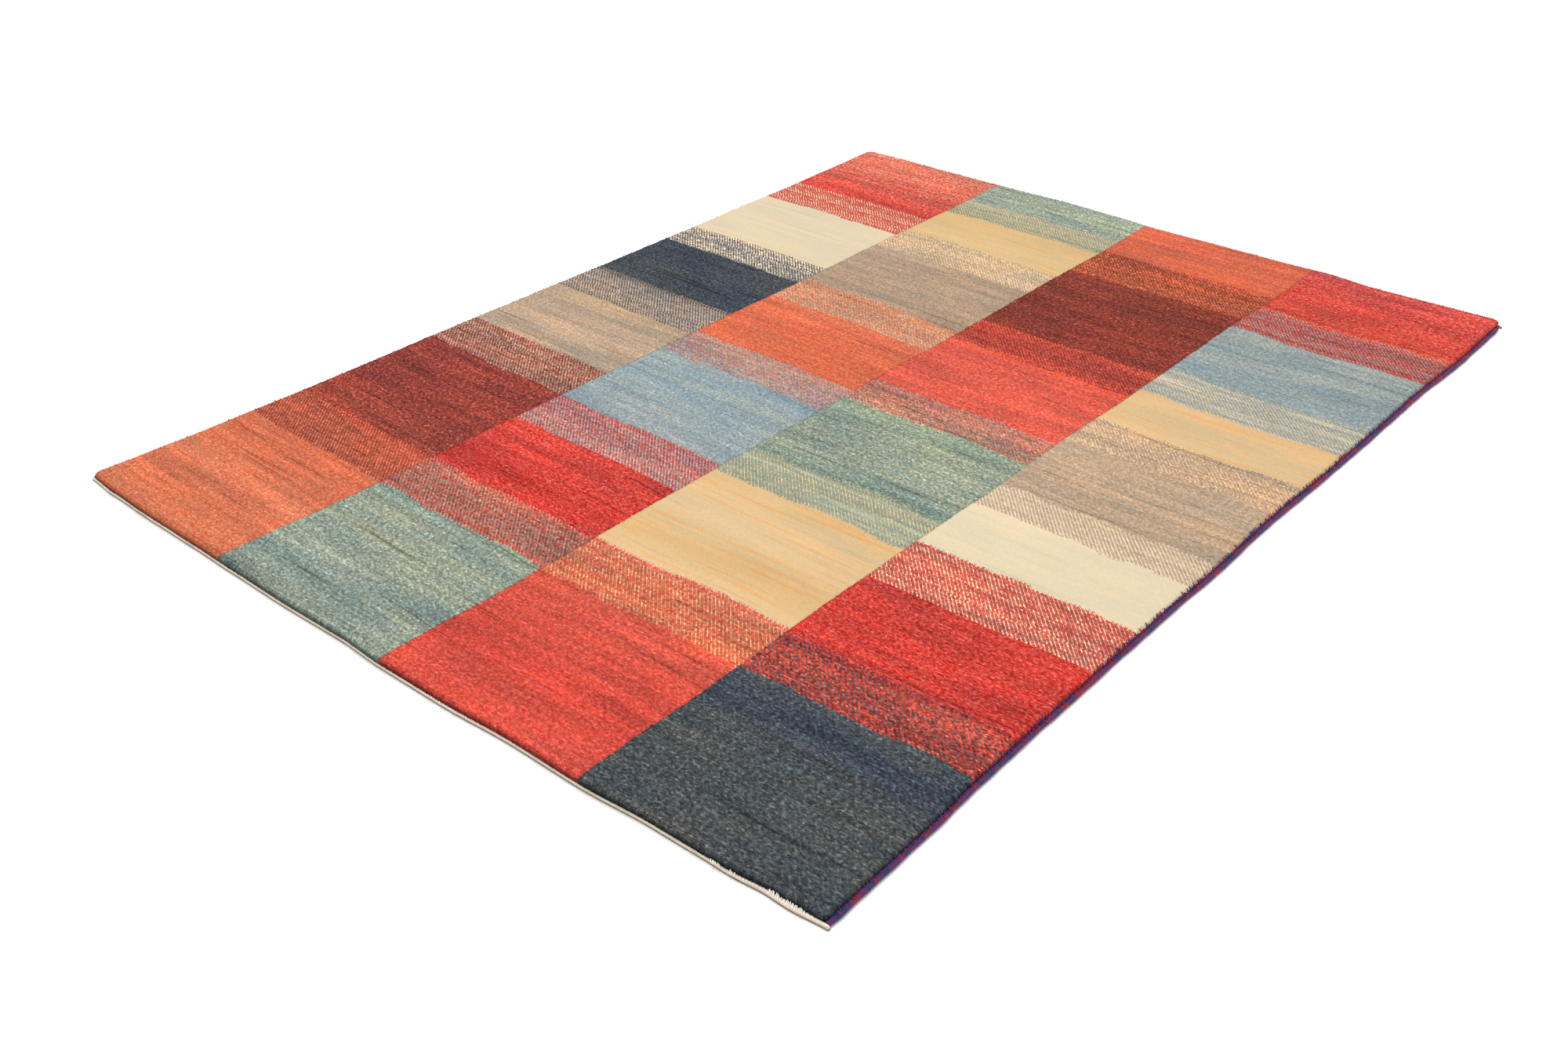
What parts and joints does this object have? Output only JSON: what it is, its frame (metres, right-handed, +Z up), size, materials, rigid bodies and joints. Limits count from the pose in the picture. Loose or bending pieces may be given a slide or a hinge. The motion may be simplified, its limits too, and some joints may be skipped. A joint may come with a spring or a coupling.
{
  "type": "hand-knotted wool rug",
  "caption": "Flat pile rug with a patchwork of dyed wool blocks, overcast cord selvedges on its long sides and a turned-under cotton web at each short end.",
  "frame": {"origin": "middle of the rug's box, on the surface that it lies on", "axes": "+X across the rug, +Y along it from the near end to the far end, +Z up out of the pile"},
  "size_m": [1.184, 1.5877, 0.0125],
  "materials": {
    "wool_pile": "cut wool pile in several plant-dyed colours, soft and matt",
    "overcast_yarn": "wool yarn wrapped side by side, in short runs of violet, blue and red",
    "cotton_web": "plain-woven undyed cotton"
  },
  "bodies": {
    "root": {"field": "wool_pile", "selvedge_left": "overcast_yarn", "selvedge_right": "overcast_yarn", "web_near": "cotton_web", "web_far": "cotton_web"}
  },
  "joints": []
}
